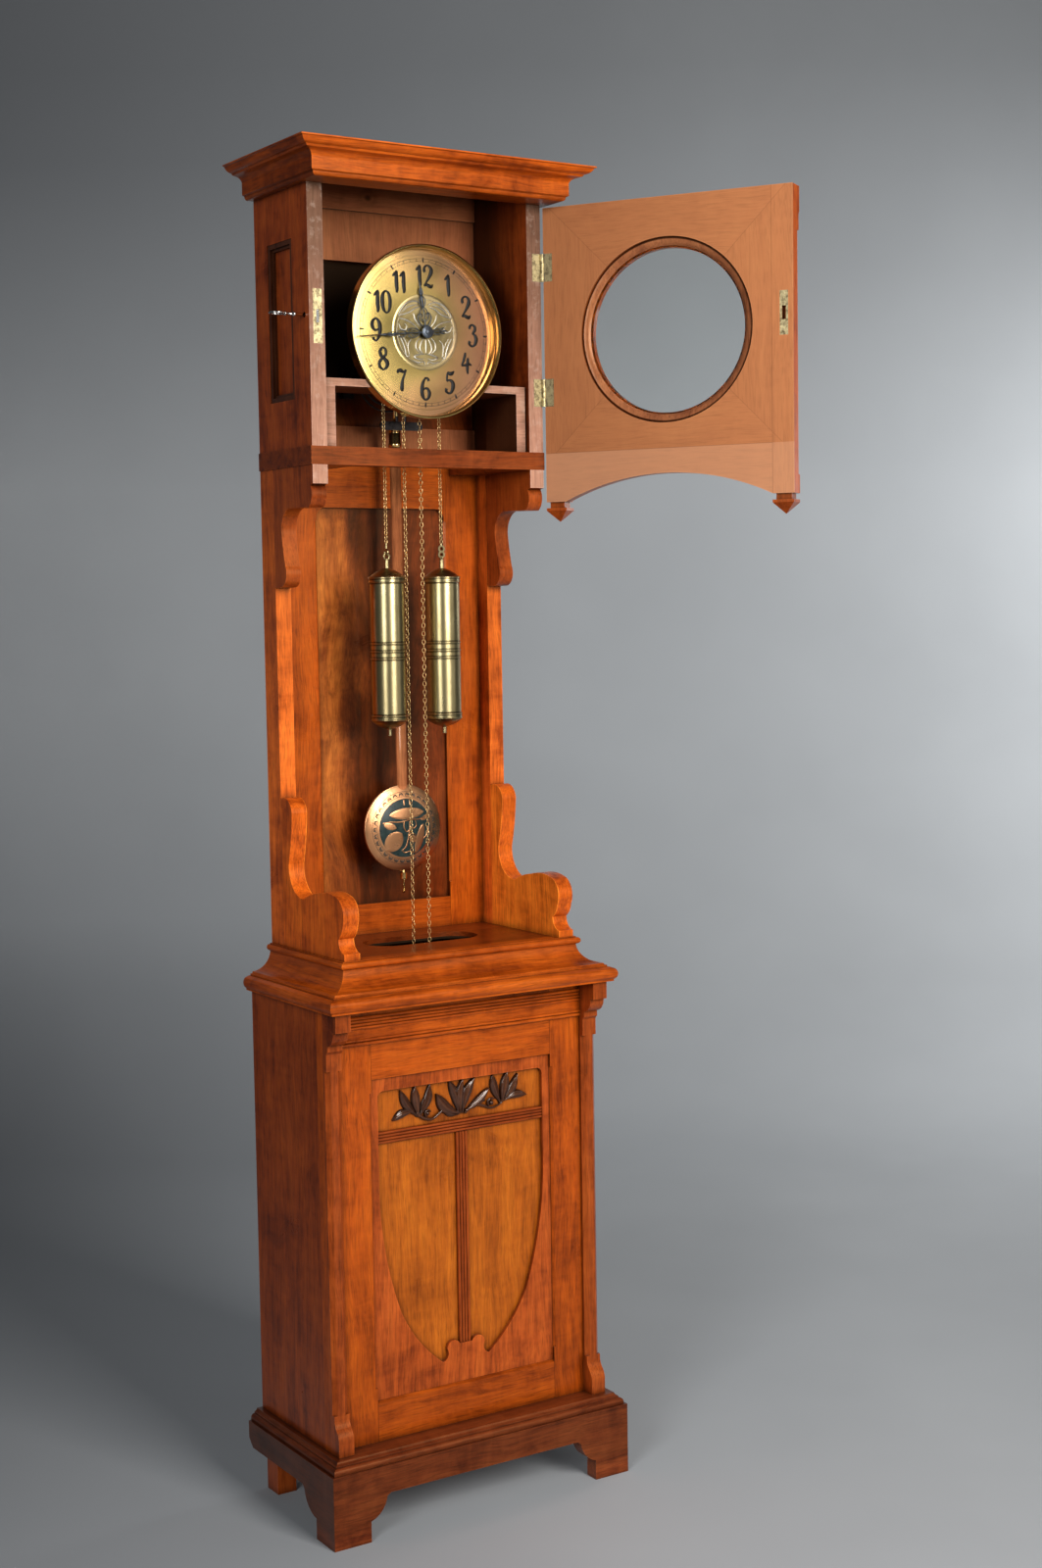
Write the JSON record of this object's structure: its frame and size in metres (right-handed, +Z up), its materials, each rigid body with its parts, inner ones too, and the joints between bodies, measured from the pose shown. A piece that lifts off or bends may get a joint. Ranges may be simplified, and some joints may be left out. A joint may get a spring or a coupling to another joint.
{
  "type": "longcase clock",
  "caption": "Tall wooden pendulum longcase clock with open trunk, round dial behind a hinged glazed hood door, chain-hung brass weights, shield-panelled base and bracket-foot plinth.",
  "frame": {"origin": "on the floor, under the centre of the plinth", "axes": "+X to the viewer's right, -Y towards the front, +Z up"},
  "size_m": [0.7636, 0.561, 2.2],
  "materials": {
    "mahogany": "polished reddish brown",
    "veneer": "polished honey brown",
    "carving": "dark polished",
    "pale_wood": "matte",
    "brass": "satin",
    "antique_brass": "antique satin",
    "dial_copper": "silvered and copper toned",
    "silvered": "silvered relief",
    "blued_steel": "dark blued",
    "nickel": "polished nickel",
    "iron": "dark",
    "copper_bob": "copper with dark etched ground",
    "glass": "clear"
  },
  "bodies": {
    "case": {"plinth_boards": "mahogany", "rear_legs": "mahogany", "plinth_moulding": "mahogany", "base_sides": "mahogany", "base_back_board": "mahogany", "base_front_frame": "mahogany", "shield_ground_panel": "veneer", "shield_overlay_board": "mahogany", "panel_reeding": "mahogany", "carved_flowers": "carving", "frieze_board": "mahogany", "corner_pilasters": "mahogany", "base_top_board": "mahogany", "platform_moulding": "mahogany", "platform_board": "mahogany", "trunk_sides": "mahogany", "back_panel": "mahogany", "trunk_back_frame": "mahogany", "upper_brackets": "mahogany", "lower_brackets": "mahogany", "hood_floor_board": "mahogany", "hood_sides": "mahogany", "side_panel_mouldings": "carving", "hood_back_boards": "pale_wood", "hood_top_board": "mahogany", "cornice_moulding": "mahogany", "movement_seat": "pale_wood", "movement_frame": "brass", "dial_plate": "dial_copper", "dial_bezel": "brass", "dial_medallion": "silvered", "gong": "iron", "case_hinge_leaves": "brass", "lock_case": "brass", "weight_chain_left": "brass", "weight_chain_right": "brass", "free_chain_left": "brass", "free_chain_right": "brass"},
    "hood_door": {"door_frame": "mahogany", "glass_ring": "pale_wood", "door_glass": "glass", "door_face_trim": "mahogany", "door_pendants": "mahogany", "door_hinge_leaves": "brass", "strike_plate": "brass"},
    "lock_key": {"key": "nickel"},
    "bolt": {"lock_bolt": "nickel"},
    "minute": {"minute_hand": "blued_steel"},
    "hour": {"hour_hand": "blued_steel"},
    "pendulum": {"pendulum_rod": "pale_wood"},
    "bob": {"pendulum_bob": "copper_bob", "rating_nut": "brass"},
    "anchor": {"anchor_crutch": "brass"},
    "wheel_left": {"chain_wheel_left": "brass"},
    "wheel_right": {"chain_wheel_right": "brass"},
    "drive_weight_left": {"weight_left": "antique_brass"},
    "drive_weight_right": {"weight_right": "antique_brass"},
    "free_end_left": {"chain_end_left": "brass"},
    "free_end_right": {"chain_end_right": "brass"}
  },
  "joints": [
    {"name": "hood_door_hinge", "type": "hinge", "parent": "case", "child": "hood_door", "pos_m": [0.2195, -0.0375, 1.9], "axis": [0, 0, 1], "range_deg": [-122, 45]},
    {"name": "key_turn", "type": "hinge", "parent": "case", "child": "lock_key", "pos_m": [-0.24, -0.019, 1.944], "axis": [1, 0, 0], "range_deg": [0, 90]},
    {"name": "bolt_slide", "type": "slide", "parent": "case", "child": "bolt", "axis": [0, -1, 0], "range_m": [0, 0.008]},
    {"name": "minute_hand_turn", "type": "hinge", "parent": "case", "child": "minute", "pos_m": [0, -0.0305, 1.928], "axis": [0, 1, 0], "continuous": true},
    {"name": "hour_hand_turn", "type": "hinge", "parent": "case", "child": "hour", "pos_m": [0, -0.0265, 1.928], "axis": [0, 1, 0], "continuous": true},
    {"name": "pendulum_swing", "type": "hinge", "parent": "case", "child": "pendulum", "pos_m": [0, 0.0855, 1.965], "axis": [0, 1, 0], "range_deg": [-4, 4]},
    {"name": "crutch_swing", "type": "hinge", "parent": "case", "child": "anchor", "pos_m": [0, 0.0855, 1.965], "axis": [0, 1, 0], "range_deg": [-4, 4]},
    {"name": "bob_rating_slide", "type": "slide", "parent": "pendulum", "child": "bob", "axis": [0, 0, 1], "range_m": [-0.006, 0.006]},
    {"name": "weight_left_run", "type": "slide", "parent": "case", "child": "drive_weight_left", "axis": [0, 0, 1], "range_m": [-1, 0], "deforming": ["weight_chain_left"]},
    {"name": "chain_wheel_left_turn", "type": "hinge", "parent": "case", "child": "wheel_left", "pos_m": [-0.034, 0.0285, 1.88], "axis": [0, 1, 0], "range_deg": [-3102.1, 3102.1]},
    {"name": "free_end_left_run", "type": "slide", "parent": "case", "child": "free_end_left", "axis": [0, 0, 1], "range_m": [0, 1], "deforming": ["free_chain_left"]},
    {"name": "weight_right_run", "type": "slide", "parent": "case", "child": "drive_weight_right", "axis": [0, 0, 1], "range_m": [-1, 0], "deforming": ["weight_chain_right"]},
    {"name": "chain_wheel_right_turn", "type": "hinge", "parent": "case", "child": "wheel_right", "pos_m": [0.034, 0.0285, 1.88], "axis": [0, 1, 0], "range_deg": [-3102.1, 3102.1]},
    {"name": "free_end_right_run", "type": "slide", "parent": "case", "child": "free_end_right", "axis": [0, 0, 1], "range_m": [0, 1], "deforming": ["free_chain_right"]}
  ],
  "couplings": [
    {"joint": "bolt_slide", "follows": "key_turn", "m_per_rad": 0.005093},
    {"joint": "hour_hand_turn", "follows": "minute_hand_turn", "ratio": 0.083333},
    {"joint": "crutch_swing", "follows": "pendulum_swing", "ratio": 1},
    {"joint": "chain_wheel_left_turn", "follows": "weight_left_run", "rad_per_m": 54.054},
    {"joint": "free_end_left_run", "follows": "weight_left_run", "ratio": -1},
    {"joint": "chain_wheel_right_turn", "follows": "weight_right_run", "rad_per_m": -54.054},
    {"joint": "free_end_right_run", "follows": "weight_right_run", "ratio": -1}
  ]
}
